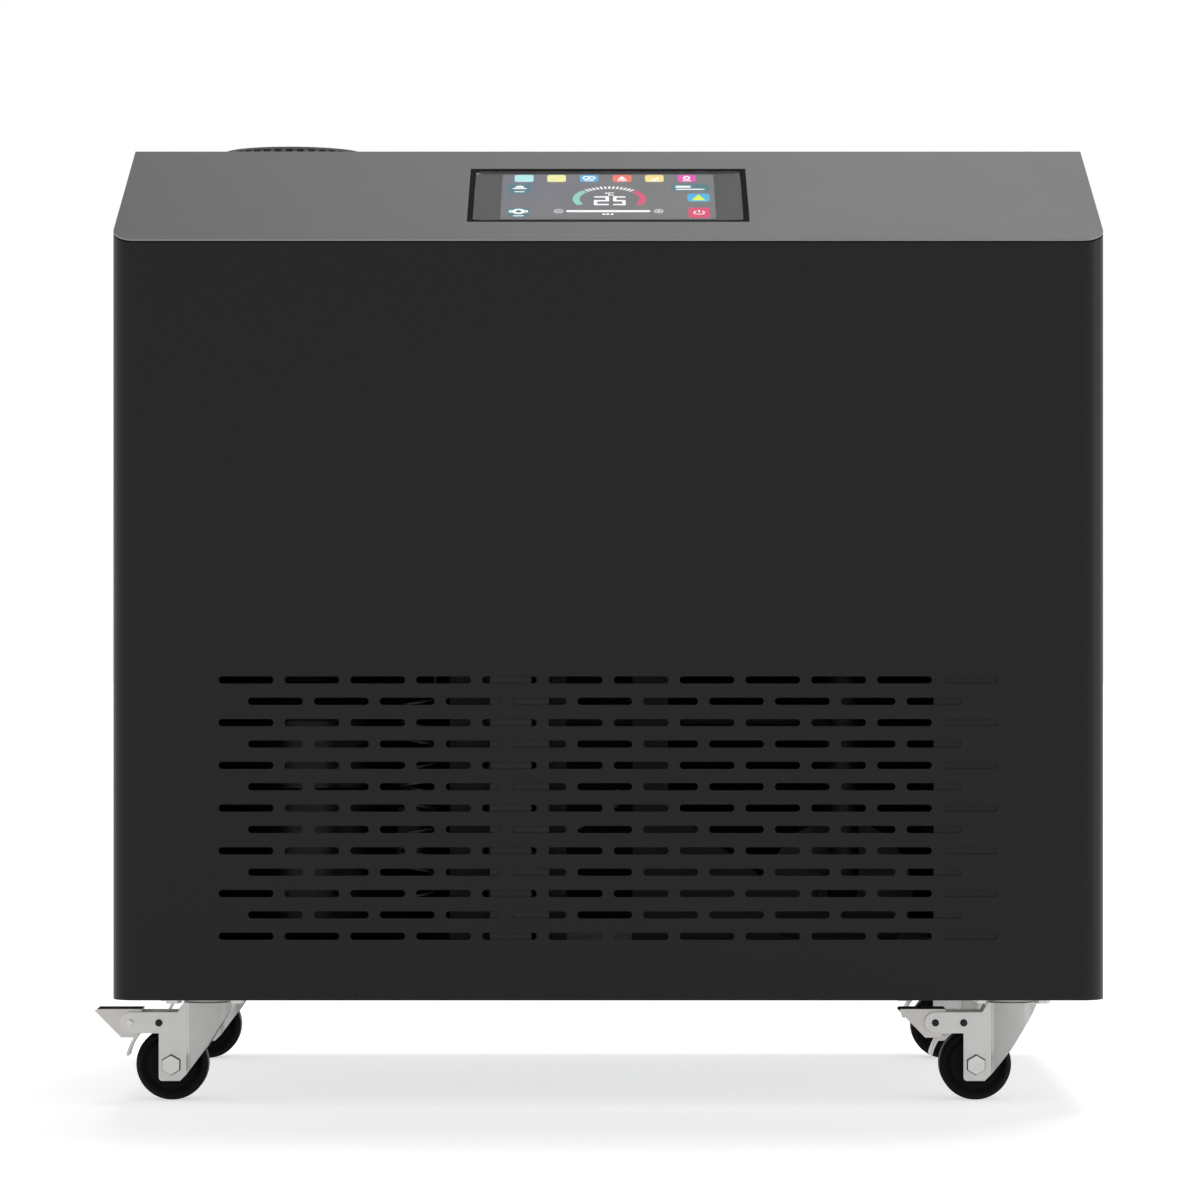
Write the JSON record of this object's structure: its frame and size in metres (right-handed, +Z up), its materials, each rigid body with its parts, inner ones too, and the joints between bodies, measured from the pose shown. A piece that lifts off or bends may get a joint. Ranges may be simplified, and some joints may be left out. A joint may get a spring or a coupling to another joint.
{
  "type": "ice bath chiller",
  "caption": "Upright sheet-metal water chiller cabinet with a sloped console display, slotted front intake, round top vent and braked swivel castors",
  "frame": {"origin": "on the floor under the middle of the cabinet, midway between the four castors' swivel axes", "axes": "+X to the right seen from the front, +Y to the back, +Z up"},
  "size_m": [0.7172, 0.4485, 0.7008],
  "materials": {
    "cabinet_paint": "satin powder coat",
    "zinc_steel": "zinc plated",
    "frame_steel": "galvanised",
    "castor_steel": "zinc plated",
    "guard_steel": "black coat",
    "motor_metal": "satin",
    "compressor_paint": "semi-gloss",
    "fin_aluminium": "bare fins",
    "copper": "bare copper",
    "brass_fitting": "turned",
    "black_plastic": "moulded",
    "box_plastic": "moulded",
    "barrel_plastic": "moulded",
    "filter_plastic": "moulded",
    "filter_media": "wound fibre",
    "pedal_plastic": "zinc plated",
    "rocker_plastic": "moulded",
    "screen_module": "lit panel",
    "screen_glass": "polished",
    "bowl_clear": "moulded",
    "hose_rubber": "satin",
    "black_rubber": "matte",
    "wheel_rubber": "satin"
  },
  "bodies": {
    "cabinet": {"front_shell": "cabinet_paint", "top_cover": "cabinet_paint", "rear_panel": "cabinet_paint", "base_pan": "zinc_steel", "centre_post": "frame_steel", "blanking_plate": "cabinet_paint", "inner_upright": "frame_steel", "fasteners": "zinc_steel", "display_frame": "black_plastic", "display_module": "screen_module", "display_glass": "screen_glass", "vent_guard": "black_plastic", "vent_fan_frame": "black_plastic", "fan_guard": "guard_steel", "fan_shroud": "zinc_steel", "fan_motor": "motor_metal", "compressor": "compressor_paint", "compressor_feet": "black_rubber", "condenser_fins": "fin_aluminium", "condenser_tubes": "copper", "heat_exchanger": "barrel_plastic", "filter_drier": "copper", "capillary_tube": "copper", "discharge_pipe": "copper", "suction_pipe": "copper", "pump": "black_plastic", "filter_head": "filter_plastic", "filter_bowl": "bowl_clear", "filter_cartridge": "filter_media", "water_inlet": "brass_fitting", "water_outlet": "brass_fitting", "inlet_hose": "hose_rubber", "suction_hose": "hose_rubber", "pump_hose": "hose_rubber", "outlet_hose": "hose_rubber", "control_box": "box_plastic", "power_inlet": "black_plastic", "castor_plate_front_left": "castor_steel", "castor_plate_front_right": "castor_steel", "castor_plate_rear_left": "castor_steel", "castor_plate_rear_right": "castor_steel"},
    "vent_rotor": {"vent_fan_rotor": "black_plastic"},
    "cooling_fan": {"fan_blades": "black_plastic"},
    "switch_rocker": {"rocker": "rocker_plastic"},
    "castor_front_left": {"castor_fork_front_left": "castor_steel", "castor_axle_front_left": "zinc_steel"},
    "wheel_front_left": {"castor_wheel_front_left": "wheel_rubber"},
    "brake_front_left": {"castor_pedal_front_left": "pedal_plastic"},
    "castor_front_right": {"castor_fork_front_right": "castor_steel", "castor_axle_front_right": "zinc_steel"},
    "wheel_front_right": {"castor_wheel_front_right": "wheel_rubber"},
    "brake_front_right": {"castor_pedal_front_right": "pedal_plastic"},
    "castor_rear_left": {"castor_fork_rear_left": "castor_steel", "castor_axle_rear_left": "zinc_steel"},
    "wheel_rear_left": {"castor_wheel_rear_left": "wheel_rubber"},
    "brake_rear_left": {"castor_pedal_rear_left": "pedal_plastic"},
    "castor_rear_right": {"castor_fork_rear_right": "castor_steel", "castor_axle_rear_right": "zinc_steel"},
    "wheel_rear_right": {"castor_wheel_rear_right": "wheel_rubber"},
    "brake_rear_right": {"castor_pedal_rear_right": "pedal_plastic"}
  },
  "joints": [
    {"name": "vent_fan_turn", "type": "hinge", "parent": "cabinet", "child": "vent_rotor", "pos_m": [-0.241, 0.08, 0.675], "axis": [0, 0, 1], "continuous": true},
    {"name": "cooling_fan_turn", "type": "hinge", "parent": "cabinet", "child": "cooling_fan", "pos_m": [0.172, 0.162, 0.336], "axis": [0, 1, 0], "continuous": true},
    {"name": "switch_rock", "type": "hinge", "parent": "cabinet", "child": "switch_rocker", "pos_m": [-0.25, 0.209, 0.158], "axis": [1, 0, 0], "range_deg": [0, 12]},
    {"name": "swivel_front_left", "type": "hinge", "parent": "cabinet", "child": "castor_front_left", "pos_m": [-0.2875, -0.147, 0.07], "axis": [0, 0, 1], "continuous": true},
    {"name": "roll_front_left", "type": "hinge", "parent": "castor_front_left", "child": "wheel_front_left", "pos_m": [-0.31215, -0.147, 0.02575], "axis": [0, 1, 0], "continuous": true},
    {"name": "pedal_front_left", "type": "hinge", "parent": "castor_front_left", "child": "brake_front_left", "pos_m": [-0.3412, -0.147, 0.0557], "axis": [0, -1, 0], "range_deg": [0, 13]},
    {"name": "swivel_front_right", "type": "hinge", "parent": "cabinet", "child": "castor_front_right", "pos_m": [0.2875, -0.147, 0.07], "axis": [0, 0, 1], "continuous": true},
    {"name": "roll_front_right", "type": "hinge", "parent": "castor_front_right", "child": "wheel_front_right", "pos_m": [0.26285, -0.147, 0.02575], "axis": [0, 1, 0], "continuous": true},
    {"name": "pedal_front_right", "type": "hinge", "parent": "castor_front_right", "child": "brake_front_right", "pos_m": [0.2338, -0.147, 0.0557], "axis": [0, -1, 0], "range_deg": [0, 13]},
    {"name": "swivel_rear_left", "type": "hinge", "parent": "cabinet", "child": "castor_rear_left", "pos_m": [-0.2875, 0.147, 0.07], "axis": [0, 0, 1], "continuous": true},
    {"name": "roll_rear_left", "type": "hinge", "parent": "castor_rear_left", "child": "wheel_rear_left", "pos_m": [-0.31215, 0.147, 0.02575], "axis": [0, 1, 0], "continuous": true},
    {"name": "pedal_rear_left", "type": "hinge", "parent": "castor_rear_left", "child": "brake_rear_left", "pos_m": [-0.3412, 0.147, 0.0557], "axis": [0, -1, 0], "range_deg": [0, 13]},
    {"name": "swivel_rear_right", "type": "hinge", "parent": "cabinet", "child": "castor_rear_right", "pos_m": [0.2875, 0.147, 0.07], "axis": [0, 0, 1], "continuous": true},
    {"name": "roll_rear_right", "type": "hinge", "parent": "castor_rear_right", "child": "wheel_rear_right", "pos_m": [0.26285, 0.147, 0.02575], "axis": [0, 1, 0], "continuous": true},
    {"name": "pedal_rear_right", "type": "hinge", "parent": "castor_rear_right", "child": "brake_rear_right", "pos_m": [0.2338, 0.147, 0.0557], "axis": [0, -1, 0], "range_deg": [0, 13]}
  ]
}
